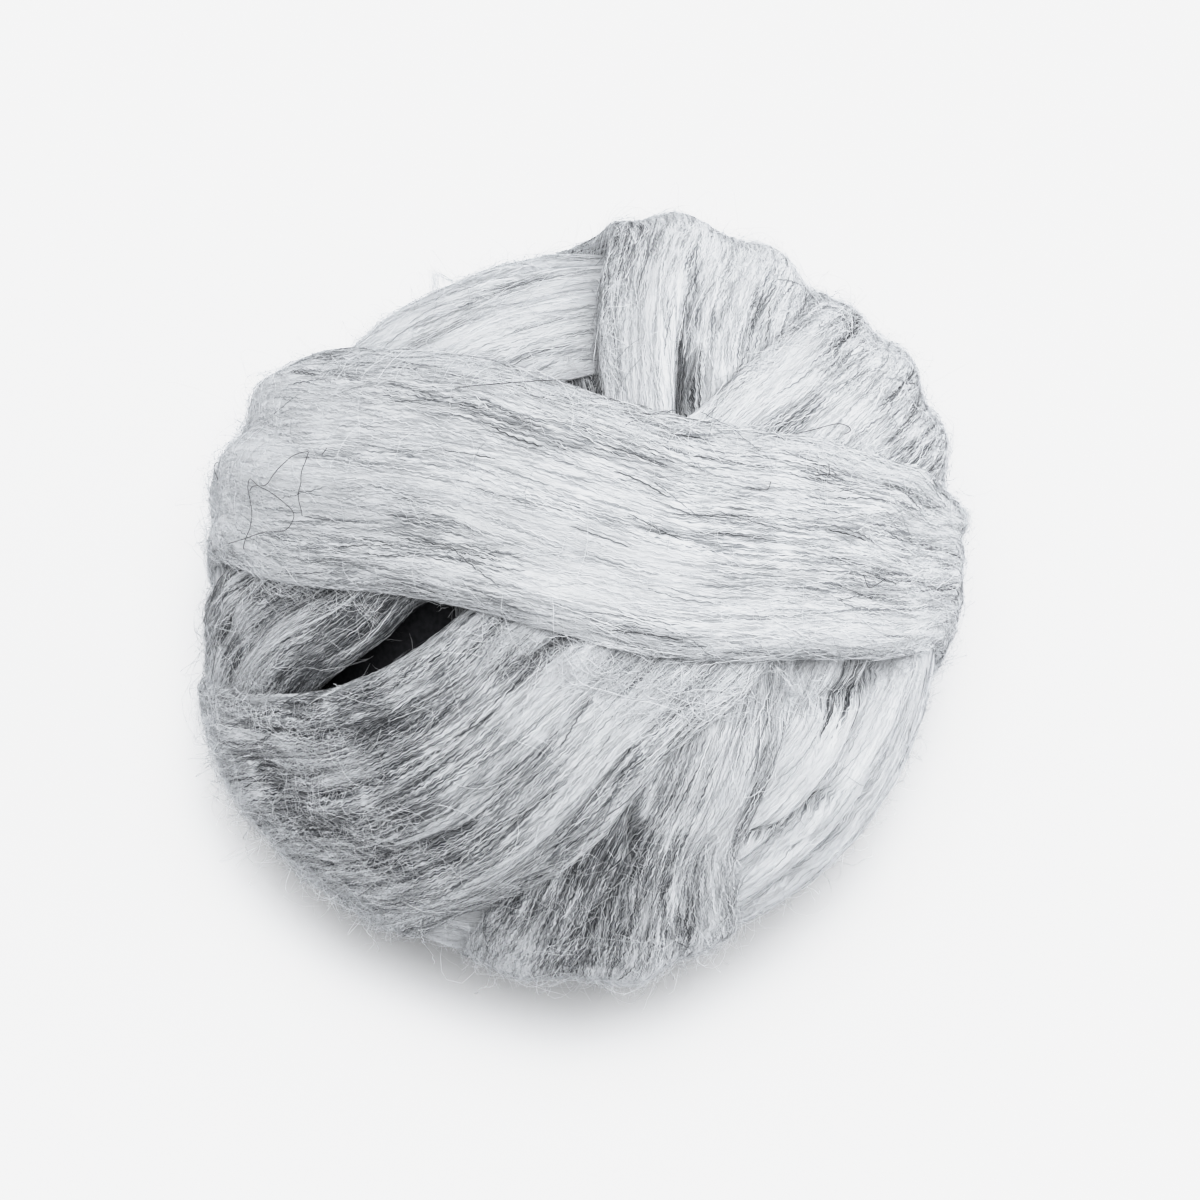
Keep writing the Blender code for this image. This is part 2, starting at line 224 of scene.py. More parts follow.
# Fibres on a turn, with lengths in millimetres. Some lie askew, those at the band's edges the most.
FIBRE_POINTS = 12
FIBRES_TRIED = 1.9  # a later turn covers many
EDGE_MARGIN, EDGE_BAND, EDGE_SHARE = 0.02, 0.1, 0.14
HEADING, BEND, ASKEW, ASKEW_SHARE = 0.13, 0.011, 2.3, 0.15
LEAST_LIFT, MEAN_LIFT, CRIMP_LIFT = 0.04, 0.13, 0.3
TWIST, TWIST_GROWTH, GROWTH_SPREAD, TAPER, ARCH_END = 0.45, 0.25, 0.3, 3.0, 0.04
LENGTHS, HEIGHTS, WIDTHS = (0.85, 1.15), (0.5, 1.4), (0.5, 1.5)  # spread of the crimp and of the width
TONE_BASE, TONE_SHARE, TONE_SPREAD, DARK_SPREAD, PALE_FROM = 0.06, 0.92, 0.09, 0.5, 0.75
DARK_SHARE, DARKER = 0.12, 0.35  # some fibres are darker than the wool around them

# Loose fibres: their mean length is three times the first value, in millimetres.
Loose = namedtuple("Loose", "length points width tone least_height")
SPREAD_SHARE = 0.6  # most of the frizz lies nearer to its arc than its spread
FRIZZ_FIBRES = Loose(2.4, 8, 0.085, 0.8, 70.0)
STRAY_FIBRES = Loose(3.0, 10, 0.065, 0.7, 66.0)

# The long dark hollow between the left turn and the slanting one: its ends, how near to it counts as in it,
# and half of the width in millimetres that the askew fibres and the frizz leave clear.
HOLLOW, IN_HOLLOW, EDGE_CLEAR, FRIZZ_CLEAR = ((186, 18), (198, 58)), 0.2, 6.0, 5.0

# Single hairs caught on the ball: the places they pass, in degrees, how far the last end stands off, in
# millimetres, and whether the hair is as pale as the wool.
Hair = namedtuple("Hair", "places lift pale", defaults=(1, False))
HAIRS = {
    "curled": Hair((
        (171.4, 61.4), (166.6, 60.2), (161.8, 62.2), (159.9, 61.4), (160.5, 58.1), (160.8, 54.6),
        (161.7, 51.2), (163, 48.6), (164.9, 48.5), (166.9, 49.9), (168, 54.9), (169.8, 60.3),
        (170.9, 65.4))),
    "small_curl": Hair((
        (163.2, 47.1), (160.1, 47.8), (157, 47.5), (153.6, 48.3), (151.5, 49.3), (152.5, 50.6),
        (154.5, 52.1), (157.3, 53.3), (159.9, 55.4), (160.8, 59.2), (161.8, 60.5))),
    "short_left": Hair(((150.6, 46.9), (150, 46.4), (149.1, 46.1))),
    "outline_left": Hair(((159.2, 84.1), (160.3, 80.1), (161.7, 75.5))),
    "over_upper_left": Hair(((120.6, 36.6), (106.9, 33.6), (83.8, 35.2))),
    "hook": Hair(((42.6, 38.2), (36.9, 43.2), (34.4, 47.9), (32.2, 49.3), (32.1, 47.6))),
    "small_hook": Hair(((33.4, 29.3), (30.6, 30.9), (31.8, 31.8))),
    "kink": Hair(((5.1, 43.9), (2.5, 45), (3.9, 47.9))),
    "dash": Hair(((28, 39.4), (25.7, 43.1))),
    "tick": Hair(((28.6, 42.3), (26.6, 41.4))),
    "crimped_front": Hair(((270, 57), (264, 62), (258.5, 69), (255, 84)), 6, True),
    "front_left": Hair(((247, 80), (245, 86), (248, 90)), 6, True),
    "front_curl": Hair(((239, 82), (236, 87), (240, 90)), 5, True),
}
HAIR_POINTS, HAIR_LIFT, HAIR_TONE = 80, 0.5, 0.9
JUST_OVER_ONE = 1.001  # so that a curve stops just short of its last place
PALE_RADIUS, DARK_RADIUS = 0.08, 0.065  # millimetres
PALE_CRIMP, PALE_WAVES = 0.0035, 60.0  # how far a pale hair sways, as an angle, and its waves

# Lights from afar: bearing, elevation and apparent size in degrees.
Light = namedtuple("Light", "bearing elevation size")
LIGHTS = {
    "overhead": Light(110.0, 76.0, 55.0), "window": Light(8.0, 35.0, 60.0),
    "floor_light": Light(48.0, 87.5, 26.0),
}

# Tone curve of a bright photograph: light in the scene and how light it is shown.
TONE_CURVE = ((0.05, 0.085), (0.15, 0.3), (0.3, 0.62), (0.4, 0.775), (0.5, 0.86), (0.65, 0.895))
WHITE_LEVEL, WHITE_SHOWN = 2.0, 0.925
ROOM_COLOUR = (0.98, 0.99, 1.0, 1.0)
SPECULAR = 0.2  # wool and floor hardly gleam


def length_of(name, description, default, least=0.0):
    """Property that holds a length."""
    return bpy.props.FloatProperty(name=name, description=description, default=default, min=least,
                                   subtype="DISTANCE", unit="LENGTH")


def colour_of(name, description, default):
    """Property that holds a colour."""
    return bpy.props.FloatVectorProperty(name=name, description=description, default=default, size=3,
                                         min=0.0, max=1.0, subtype="COLOR")


def strength_of(name, description, default):
    """Property that holds the strength of a light."""
    return bpy.props.FloatProperty(name=name, description=description, default=default, min=0.0)


class RovingSizes(bpy.types.PropertyGroup):
    """Sizes of the wound band and of its fibres."""

    inner_radius: length_of(
        "Inner ball", "Radius of the inner ball that the turns are wound over", 61.0 * MM)
    edge_drop: length_of("Edge drop", "How far a band's rolled edge lies below its middle", 5.5 * MM)
    under_depth: length_of("Underside", "How far the underside of a band bulges inwards", 4.0 * MM)
    skin: length_of("Thickness", "Least thickness of a band over the turns below it", 2.6 * MM)
    edge_skin: length_of("Edge thickness", "Least thickness of a band at its rolled edge", 1.1 * MM)
    lock_depth: length_of("Swells", "Height of the wide lengthwise swells in a band", 1.1 * MM)
    strand_depth: length_of("Locks", "Height of the locks of fibre along a band", 0.35 * MM)
    crease_depth: length_of("Creases", "Depth of the creases between the locks of fibre", 0.9 * MM)
    crimp_length: length_of("Crimp length", "Length of one wave of the fibres' crimp", CRIMP_LENGTH * MM)
    crimp_height: length_of("Crimp height", "How far the crimp sways a fibre to each side", 0.11 * MM)
    fibre_width: length_of("Fibre width", "Mean width of a bundle of fibres lying on a band", 0.14 * MM)
    fibre_count: bpy.props.IntProperty(
        name="Fibres", description="Number of fibre bundles lying on the whole ball", default=26000, min=0)
    stray_count: bpy.props.IntProperty(
        name="Stray fibres", description="Number of fibres standing off the ball", default=8000, min=0)


class RovingColours(bpy.types.PropertyGroup):
    """Colours of the blended wool, the painted shade between its fibres and in the inner ball, the dark hairs
    and the floor.
    """

    pale: colour_of("Pale wool", "Colour of the palest fibres", (0.7, 0.714, 0.733))
    grey: colour_of("Grey wool", "Colour of the grey fibres", (0.26, 0.272, 0.288))
    # Painted shade down between the fibres; the darkest fibres take this colour too.
    gap: colour_of("Between fibres", "Colour down between the fibres", (0.06, 0.064, 0.07))
    hair: colour_of("Dark hair", "Colour of the few dark hairs", (0.03, 0.03, 0.035))
    # Painted shade: near black, for the shade deep in the hollows of the ball.
    inner: colour_of("Inner ball", "Colour deep inside the ball", (0.014, 0.015, 0.017))
    floor: colour_of("Floor", "Colour of the pale floor", (0.36, 0.362, 0.367))


class RovingStage(bpy.types.PropertyGroup):
    """Camera, lights and floor of the studio."""

    view_width: length_of("View width", "Width of the square view at the middle of the ball", 0.24, 0.01)
    lens: bpy.props.FloatProperty(
        name="Lens", description="Focal length of the camera in millimetres", default=220.0, min=10.0)
    elevation: bpy.props.FloatProperty(
        name="Elevation", description="Angle of the camera above the floor",
        default=radians(80.0), min=0.0, max=pi / 2, subtype="ANGLE", unit="ROTATION")
    view_right: bpy.props.FloatProperty(
        name="View to the right", description="How far right of the ball the view is centred",
        default=3.8 * MM, subtype="DISTANCE", unit="LENGTH")
    ambient: strength_of("Room light", "Strength of the even light of the room", 0.46)
    overhead: strength_of("Overhead light", "Strength of the wide light over the ball", 2.1)
    window: strength_of("Window light", "Strength of the light from the upper right", 1.72)
    floor_light: strength_of("Floor light", "Strength of the light that falls on the floor alone", 8.0)
    floor_size: length_of("Floor size", "Side of the square floor", 6.0, 0.5)


wound = {}  # what each turn leaves for the fibres: its face, normals and tones
laid = []  # the ball and the turns laid so far, for the rays


def direction(bearing, reach):
    """Unit vector of a place on the winding's globe; the pole leans to the front, towards the camera."""
    lean = pi / 2 - bpy.context.scene.roving_stage.elevation
    flat = sin(radians(reach))
    place = Vector((flat * cos(radians(bearing)), flat * sin(radians(bearing)), cos(radians(reach))))
    return Matrix.Rotation(lean, 3, "X") @ place


def unit(vectors):
    """Vectors scaled to length one."""
    return vectors / np.linalg.norm(vectors, axis=-1, keepdims=True)


def curve_between(before, start, end, after, part):
    """Values between start and end on the smooth curve through all four."""
    slope_in = (end - before) * 0.5
    slope_out = (after - start) * 0.5
    square, cube = part * part, part ** 3
    return (start * (2 * cube - 3 * square + 1) + slope_in * (cube - 2 * square + part)
            + end * (3 * square - 2 * cube) + slope_out * (cube - square))


def resampled(rows, places, closed):
    """Rows at fractional row numbers, read from a smooth curve through them."""
    base = np.floor(places).astype(int)
    part = (places - base).reshape((-1,) + (1,) * (rows.ndim - 1))
    picks = [base + shift for shift in (-1, 0, 1, 2)]
    picks = [pick % len(rows) if closed else np.clip(pick, 0, len(rows) - 1) for pick in picks]
    return curve_between(*(rows[pick] for pick in picks), part)


def turn_line(places, count):
    """Even stations round a turn: directions, half widths and crowns of its middle, and its girth."""
    rows = np.array([(*direction(p.bearing, p.reach), p.half_width * MM, p.crown * MM) for p in places])
    fine = resampled(rows, np.arange(len(rows) * STEPS_BETWEEN) / STEPS_BETWEEN, True)
    closed = np.vstack([fine, fine[:1]])
    lengths = np.concatenate([[0.0], np.cumsum(np.linalg.norm(np.diff(closed[:, :3], axis=0), axis=1))])
    wanted = lengths[-1] * np.arange(count) / count
    even = np.stack([np.interp(wanted, lengths, column) for column in closed.T], axis=1)
    return unit(even[:, :3]), even[:, 3], even[:, 4], lengths[-1]


def band_directions(middle, half_width, crown, sides):
    """Unit vectors to the band's face: one row a station, one column a side."""
    ahead = np.roll(middle, -1, axis=0) - np.roll(middle, 1, axis=0)
    sideways = unit(np.cross(middle, ahead))
    angle = (sides[None, :] * (half_width / crown)[:, None])[..., None]
    return middle[:, None, :] * np.cos(angle) + sideways[:, None, :] * np.sin(angle)


def sides_across(count):
    """Sides from -1 to 1 across the band, closest together at its rolled edges."""
    gathered = 0.7
    share = np.arange(count + 1) / count
    return (1.0 - gathered) * (2.0 * share - 1.0) + gathered * np.sin(pi * (share - 0.5))


def flatness_of(sides):
    """How much of its full thickness the band has at each side."""
    roundness = 2.6
    return (1.0 - np.abs(sides) ** roundness).clip(0.0) ** 0.5


def laid_heights(outward):
    """Distances from the ball's middle to the outermost turn laid so far, for each unit vector."""
    heights = []
    for ray in map(Vector, outward.reshape(-1, 3)):
        hits = (tree.ray_cast(ray * FAR_OUT, -ray)[0] for tree in laid)
        heights.append(max(hit.length for hit in hits if hit))
    return np.array(heights).reshape(outward.shape[:-1])


def draped_heights(line, number):
    """Coarse distances of a band's face from the ball's middle: laid on the turns below and pulled taut."""
    sizes = bpy.context.scene.roving_sizes
    stations, columns, pull_rounds = 96, 24, 22
    turn_shift, swell_sway, swells = 1.7, 0.6, 2.6
    middle, half_width, crown, _ = turn_line(line, stations)
    sides = sides_across(columns)
    outward = band_directions(middle, half_width, crown, sides)
    flatness = flatness_of(sides)
    sway = turn_shift * number + swell_sway * np.sin(2 * pi * np.arange(stations) / stations)
    swell = sizes.lock_depth * np.cos(swells * pi * sides[None, :] + sway[:, None]) * (1.0 - sides ** 4)
    own = crown[:, None] - sizes.edge_drop * (1.0 - flatness) + swell
    below = laid_heights(outward) + sizes.edge_skin
    heights = np.maximum(own, below + (sizes.skin - sizes.edge_skin) * flatness)
    chord = 2.0 * cos(2 * pi / stations)
    for _ in range(pull_rounds):
        straight = chord / (1.0 / np.roll(heights, 1, axis=0) + 1.0 / np.roll(heights, -1, axis=0))
        heights = np.maximum(heights, straight)
    return heights


def lattice_noise(rng, along, across, u, v):
    """Smooth noise from -1 to 1 that closes along u, from a lattice of along by across random values."""
    lattice = rng.uniform(-1.0, 1.0, (along, across + 3))
    rows = resampled(lattice, u * along, True)
    base = np.clip(np.floor(v * across), 0, across - 1).astype(int)
    part = v * across - base
    row = np.arange(len(rows))[:, None]
    return curve_between(*(rows[row, base + shift] for shift in range(4)), part)


def creases(rng, kind, u, v):
    """Lengthwise creases that wander, join and fade: 1 in the middle of one, and 0 away from it."""
    mean, variety = 0.55, 0.6
    wander = lattice_noise(rng, kind.along, kind.across, u, v)
    strength = (mean + variety * lattice_noise(rng, kind.along * 2, kind.across, u, v)).clip(0.0, 1.0)
    return strength * np.exp(-(wander / kind.sharpness) ** 2)


def nearness(outward, start, end, half_width):
    """How near unit vectors lie to the arc between two places: 1 on it, fading over half its width."""
    at_ends = 0.35
    start, end = np.array(direction(*start)), np.array(direction(*end))
    way = end - start
    share = ((outward - start) @ way / (way @ way)).clip(0.0, 1.0)
    nearest = unit(start + share[..., None] * way)
    away = np.linalg.norm(outward - nearest, axis=-1) * MEAN_RADIUS / (half_width * MM)
    return (at_ends + (1.0 - at_ends) * np.sin(pi * share)) * np.exp(-away ** 2)


def clear_of_hollow(outward, half_width):
    """Which unit vectors lie clear of the long dark hollow."""
    return nearness(outward, *HOLLOW, half_width) < IN_HOLLOW


def marked(outward, marks, scale=1.0):
    """Amount that a turn's marks add up to at each unit vector."""
    return sum(mark.amount * scale * nearness(outward, *mark[:3]) for mark in marks)


def on_floor(points):
    """Points moved up to the ball's place and pressed flat where they would pass the floor."""
    placed = points + np.array((0.0, 0.0, CENTRE_HEIGHT))
    placed[..., 2] = np.maximum(placed[..., 2], FLOOR_GAP)
    return placed


def add_map(mesh, name, places):
    """Add a map from the places of each face's four corners, which the faces take backwards."""
    layer = mesh.uv_layers.new(name=name)
    layer.data.foreach_set("uv", places.reshape(-1, 4, 2)[:, ::-1].astype(np.float32).ravel())


def grid_faces(rows, columns, strips):
    """Four-sided faces of the first strips of a grid of points that closes both ways."""
    row, column = np.meshgrid(np.arange(strips), np.arange(columns), indexing="ij")
    beyond, following = (row + 1) % rows, (column + 1) % columns
    corners = (row, column), (beyond, column), (beyond, following), (row, following)
    return np.stack([a * columns + b for a, b in corners], axis=-1).reshape(-1, 4)


def grid_mesh(name, points, grain):
    """Mesh that closes both ways, from a grid of points, with the grain's lengths in millimetres as a map."""
    rows, columns = points.shape[:2]
    row, column = np.meshgrid(np.arange(rows), np.arange(columns), indexing="ij")
    mesh = bpy.data.meshes.new(name)
    mesh.from_pydata(points.reshape(-1, 3), [], grid_faces(rows, columns, rows)[:, ::-1])
    corners = [(row, column), (row + 1, column), (row + 1, column + 1), (row, column + 1)]
    shares = np.arange(rows + 1) / rows, np.arange(columns + 1) / columns
    for map_name, (along, across) in (("grain", grain), (BAKE_MAP, shares)):
        places = [np.stack([along[a], across[b]], axis=-1) for a, b in corners]
        add_map(mesh, map_name, np.stack(places, axis=-2))
    mesh.shade_smooth()
    mesh.update()
    return mesh


def set_tones(mesh, tones):
    """Give each point of a mesh its tone, the wool's own with any painted shade, from 0 for the darkest to 1
    for the palest.
    """
    tone = mesh.attributes.new("tone", "FLOAT", "POINT")
    tone.data.foreach_set("value", tones.astype(np.float32).ravel())


def new_piece(name, mesh, material):
    """Piece of the ball that rides on the body and takes the wool's finish."""
    piece = bpy.data.objects.new(name, mesh)
    bpy.context.scene.collection.objects.link(piece)
    mesh.materials.append(material)
    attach(piece, BODY)
    return piece


def node(tree, kind, inputs=(), **settings):
    """New node with its settings and its inputs set: a value, or a socket to link from."""
    made = tree.nodes.new(kind)
    for key, value in settings.items():
        setattr(made, key, value)
    for key, value in dict(inputs).items():
        if isinstance(value, bpy.types.NodeSocket):
            tree.links.new(value, made.inputs[key])
        else:
            made.inputs[key].default_value = value
    return made


def math_node(tree, operation, first, second=0.0, third=0.0):
    """Output of a Math node."""
    return node(tree, "ShaderNodeMath", {0: first, 1: second, 2: third}, operation=operation).outputs[0]


def falling(tree, value, slope, start, least=None):
    """Output that falls from its start as the value rises, to the least."""
    fallen = math_node(tree, "MULTIPLY_ADD", value, -slope, start)
    return fallen if least is None else math_node(tree, "MAXIMUM", fallen, least)


def streaks(tree, along, across, streak, detail=1.0):
    """Noise drawn out along the fibres to a streak's length and width."""
    place = node(tree, "ShaderNodeCombineXYZ", {
        "X": math_node(tree, "DIVIDE", along, streak.length),
        "Y": math_node(tree, "DIVIDE", across, streak.width)})
    made = node(tree, "ShaderNodeTexNoise", {
        "Vector": place.outputs[0], "Scale": 1.0, "Detail": detail, "Roughness": 0.55})
    return made.outputs["Fac"]


def colour_by(tree, shader, value, stops, colours):
    """Colour a shader by a value that takes each colour at its stop."""
    made = node(tree, "ShaderNodeValToRGB", {"Fac": value})
    elements = made.color_ramp.elements
    while len(elements) < len(stops):
        elements.new(0.5)
    for element, stop, colour in zip(elements, stops, colours):
        element.position, element.color = stop, (*colour, 1.0)
    tree.links.new(made.outputs["Color"], shader.inputs["Base Color"])


def plain_material(name, colour, roughness):
    """Principled material with one colour, and its node tree and shader."""
    material = bpy.data.materials.new(name)
    material.use_nodes = True
    shader = material.node_tree.nodes["Principled BSDF"]
    shader.inputs["Base Color"].default_value = (*colour, 1.0)
    shader.inputs["Roughness"].default_value = roughness
    shader.inputs["Specular IOR Level"].default_value = SPECULAR
    return material, material.node_tree, shader


def band_material():
    """Combed wool: pale and grey streaks along the band, with painted shade in dark lines between its crimped
    fibres.
    """
    colours = bpy.context.scene.roving_colours
    material, tree, shader = plain_material("combed_wool", colours.grey, roughness=0.9)
    grain = node(tree, "ShaderNodeUVMap", uv_map="grain")
    maths = partial(math_node, tree)
    split = node(tree, "ShaderNodeSeparateXYZ", {0: grain.outputs[0]})
    along, across = split.outputs["X"], split.outputs["Y"]
    reach, turns, sway = 2.4, 12.0, 0.08  # of the meander, of the crimp's phase and of the crimp
    meander = maths("MULTIPLY_ADD", streaks(tree, along, across, MEANDER), reach, across)
    phase = maths("MULTIPLY", streaks(tree, along, across, PHASE), turns)
    wave = maths("SINE", maths("MULTIPLY_ADD", along, 2 * pi / CRIMP_LENGTH, phase))
    swayed = maths("MULTIPLY_ADD", wave, sway, meander)
    lock = streaks(tree, along, meander, LOCK, detail=2.0)
    strand = streaks(tree, along, swayed, STRAND, detail=2.0)
    tone = node(tree, "ShaderNodeAttribute", attribute_name="tone").outputs["Fac"]
    darkness = maths("MINIMUM", falling(tree, tone, *SWING_FALL), MOST_SWING)
    for value, share in ((lock, LOCK_SWING), (strand, STRAND_SWING)):
        swing = maths("MULTIPLY_ADD", value, share, -0.5 * share)
        tone = maths("ADD", tone, maths("MULTIPLY", swing, darkness))
    # Painted shade in dark lines between the fibres.
    fibres = None
    for lines in FIBRE_LINES:
        shifted = maths("ADD", swayed, LINE_SHIFT * lines.slope)
        sheared = maths("MULTIPLY_ADD", along, lines.slope, shifted)
        level = maths("SUBTRACT", streaks(tree, along, sheared, lines), 0.5)
        line = falling(tree, maths("ABSOLUTE", level), LINE_SHARPNESS, 1.0)
        fibres = line if fibres is None else maths("MAXIMUM", fibres, line)
    fibres = maths("POWER", maths("MAXIMUM", fibres, 0.0), LINE_POWER)
    contrast = falling(tree, tone, *CONTRAST_FALL)
    shade = maths("MULTIPLY_ADD", maths("SUBTRACT", fibres, LINE_MEAN), contrast, tone)
    colour_by(tree, shader, shade, BAND_STOPS, (colours.gap, colours.grey, colours.pale))
    relief = maths("MULTIPLY_ADD", strand, STRAND_RELIEF, maths("MULTIPLY", fibres, LINE_RELIEF))
    bump = node(tree, "ShaderNodeBump", {"Height": relief, "Strength": BUMP, "Distance": BUMP_DEPTH * MM})
    tree.links.new(bump.outputs[0], shader.inputs["Normal"])
    return material


def fibre_material():
    """Single fibres, each with its own tone between pale and grey."""
    colours = bpy.context.scene.roving_colours
    material, tree, shader = plain_material("single_fibres", colours.pale, roughness=0.75)
    tone = node(tree, "ShaderNodeAttribute", attribute_name="tone").outputs["Fac"]
    colour_by(tree, shader, tone, FIBRE_STOPS, (colours.gap, colours.grey, colours.pale))
    return material


class ROVING_OT_inner_ball(bpy.types.Operator):
    """Make the inner ball, coloured near black as painted shade in the hollows between the turns"""

    bl_idname = "roving.inner_ball"
    bl_label = "Inner ball"

    def execute(self, context):
        sizes, colours = context.scene.roving_sizes, context.scene.roving_colours
        rows, columns, pole = 60, 90, 0.004
        reach = np.linspace(pole, pi - pole, rows)[:, None]
        bearing = 2 * pi * np.arange(columns)[None, :] / columns
        ball = np.stack([np.sin(reach) * np.cos(bearing), np.sin(reach) * np.sin(bearing),
                         np.cos(reach) + 0 * bearing], axis=-1) * sizes.inner_radius
        mesh = bpy.data.meshes.new("inner_ball")
        faces = grid_faces(rows, columns, rows - 1)
        caps = [list(range(columns)), list(range((rows - 1) * columns, rows * columns))[::-1]]
        mesh.from_pydata(on_floor(ball).reshape(-1, 3), [], [*faces.tolist(), *caps])
        mesh.shade_smooth()
        # Painted shade: the inner ball is coloured near black, between the dark hair's colour and its own,
        # for the hollows.
        material, tree, shader = plain_material("inner_wool", colours.inner, roughness=1.0)
        place = node(tree, "ShaderNodeTexCoord")
        noise = node(tree, "ShaderNodeTexNoise", {"Vector": place.outputs["Object"], "Scale": 900.0})
        colour_by(tree, shader, noise.outputs["Fac"], INNER_SHADE_STOPS, (colours.hair, colours.inner))
        new_piece("inner_ball", mesh, material)
        laid.append(BVHTree.FromPolygons(ball.reshape(-1, 3).tolist(), faces.tolist()))
        return {"FINISHED"}


def wind(number, name, places, material):
    """One turn as a lens-shaped ring with locks and folds in its face."""
    sizes = bpy.context.scene.roving_sizes
    stations, columns, own_tone, own_relief = LAYS[name]
    rng = np.random.default_rng(TURN_SEED + number)
    coarse = draped_heights(places, number)
    middle, half_width, crown, girth = turn_line(places, stations)
    sides = sides_across(columns)
    flatness = flatness_of(sides)
    outward = band_directions(middle, half_width, crown, sides)
    heights = resampled(coarse, np.arange(stations) * len(coarse) / stations, True)
    heights = resampled(heights.T, np.arange(columns + 1) * (coarse.shape[1] - 1) / columns, False).T
    u = np.arange(stations) / stations
    weave = WEAVE * np.sin(2 * pi * (u[:, None] * WEAVES + number * WEAVE_SHIFT))
    v = ((sides[None, :] + 1.0) / 2.0 + weave).clip(0.0, 1.0)
    locks = lattice_noise(rng, LOCKS_ALONG, LOCKS_ACROSS, u, v)
    wide, fine = (creases(rng, kind, u, v) for kind in (WIDE_CREASES, FINE_CREASES))
    pressed = WIDE_CREASES.depth * wide + FINE_CREASES.depth * fine
    # Painted shade in the creases, by their darkness.
    crease_shade = WIDE_CREASES.darkness * wide + FINE_CREASES.darkness * fine
    patches = marked(outward, PATCHES.get(name, ()))
    deepness = own_relief * np.clip(1.0 - DARK_DEEPER * patches, *DEEPNESS)
    relief = sizes.strand_depth * locks - sizes.crease_depth * deepness * pressed
    depth = marked(outward, FOLDS.get(name, ()), MM)
    face = heights + (relief - depth) * flatness
    # Patches add darker or paler wool, painted shade and painted light to the tone.
    tone = PLAIN_TONE + own_tone + patches + LOCK_TONE * locks
    # Painted shade in the folds.
    tone = tone - FOLD_SHADE * np.minimum(depth / MM, FOLD_REACH)
    tone = (tone - deepness * crease_shade).clip(0.0, 1.0)
    base = heights - sizes.edge_drop * flatness
    below_sides = sides_across(UNDER_COLUMNS)[1:-1][::-1]
    base_below = resampled(base.T, np.interp(below_sides, sides, np.arange(columns + 1)), False).T
    beneath = band_directions(middle, half_width, crown, below_sides)
    beneath = beneath * (base_below - sizes.under_depth * flatness_of(below_sides))[..., None]
    top = outward * face[..., None]
    ring = np.concatenate([top, beneath], axis=1)
    along = girth * crown.mean() / MM * np.arange(stations + 1) / stations
    width = half_width.mean() / MM
    across = np.concatenate([sides * width, 2 * width - below_sides * width, [3 * width]])
    across += GRAIN_SHIFT * number
    mesh = grid_mesh("turn_" + name, on_floor(ring), (along, across))
    # The underside takes painted shade.
    set_tones(mesh, np.concatenate([tone, np.full(beneath.shape[:2], UNDERSIDE_SHADE)], axis=1))
    faces = np.array([tuple(polygon.vertices) for polygon in mesh.polygons])
    laid.append(BVHTree.FromPolygons(ring.reshape(-1, 3).tolist(), faces.tolist()))
    lengthwise = np.roll(top, -1, axis=0) - np.roll(top, 1, axis=0)
    normal = unit(np.cross(lengthwise, np.gradient(top, axis=1)))
    wound[name] = {"face": top, "normal": normal * np.sign((normal * outward).sum(-1).mean()),
                   "tone": tone, "girth": along[-1] * MM, "number": number, "half_width": half_width}
    return new_piece("turn_" + name, mesh, material)


class ROVING_OT_turns(bpy.types.Operator):
    """Wind the turns of the band over the inner ball, each over the ones before it"""

    bl_idname = "roving.turns"
    bl_label = "Turns of the band"

    def execute(self, context):
        material = band_material()
        for number, (name, places) in enumerate(TURNS.items()):
            piece = wind(number, name, places, material)
            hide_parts(BALL_NODE)
        return {"FINISHED"}


def grid_values(grid, rows, columns):
    """Values of a grid that closes along its rows, at fractional row and column numbers."""
    count, width = grid.shape[0], grid.shape[1] - 1
    columns = columns.clip(0.0, width - TINY)
    row, column = np.floor(rows).astype(int), np.floor(columns).astype(int)
    a, b = (rows - row), (columns - column)
    if grid.ndim == 3:
        a, b = a[..., None], b[..., None]
    near, far = (grid[row % count, c] * (1 - a) + grid[(row + 1) % count, c] * a
                 for c in (column, column + 1))
    return near * (1 - b) + far * b


def ribbon_mesh(name, lines, widths, tones):
    """Mesh of one narrow ribbon a line: points, width vectors and a tone for each fibre."""
    count, steps = lines.shape[:2]
    points = np.stack([lines - widths, lines + widths], axis=2).reshape(-1, 3)
    first = (np.arange(count)[:, None] * steps + np.arange(steps - 1)[None, :]) * 2
    faces = np.stack([first, first + 1, first + 3, first + 2], axis=-1).reshape(-1, 4)
    mesh = bpy.data.meshes.new(name)
    mesh.from_pydata(points, [], faces)
    set_tones(mesh, np.repeat(tones, steps * 2))
    side = ceil(sqrt(count))
    cell = np.repeat(np.arange(count), steps - 1)
    near, far = 0.1, 0.9  # each fibre has a cell of the map to itself
    corners = np.array([(near, near), (near, far), (far, far), (far, near)])
    add_map(mesh, BAKE_MAP, (np.stack([cell % side, cell // side], axis=-1)[:, None] + corners) / side)
    mesh.update()
    return mesh


